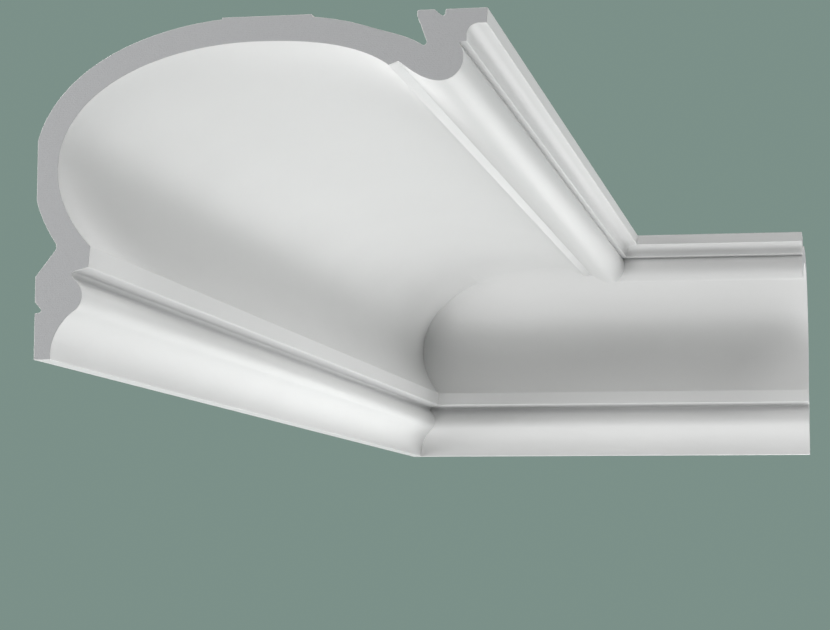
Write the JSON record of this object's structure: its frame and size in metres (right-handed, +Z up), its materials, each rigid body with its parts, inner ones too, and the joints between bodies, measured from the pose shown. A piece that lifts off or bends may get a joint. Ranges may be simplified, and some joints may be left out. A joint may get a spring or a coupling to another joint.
{
  "type": "cornice moulding section",
  "caption": "Coved cornice moulding for an inside corner: a hollow-backed shell with a beaded foot on the wall and a beaded head under the ceiling, mitred in the corner.",
  "frame": {"origin": "where the bottom edge of the moulding meets the corner of the room, on the wall face of the longer length", "axes": "+Z up to the ceiling; -Y along the side wall, the way the longer length runs; +X out of the side wall, the way the shorter length runs along the back wall"},
  "size_m": [0.37, 1.07, 0.174],
  "materials": {
    "primed_white": "white primer on moulded rigid foam, matte, with grey sawn ends"
  },
  "bodies": {
    "root": {"side_length_moulding": "primed_white", "back_length_moulding": "primed_white"}
  },
  "joints": []
}
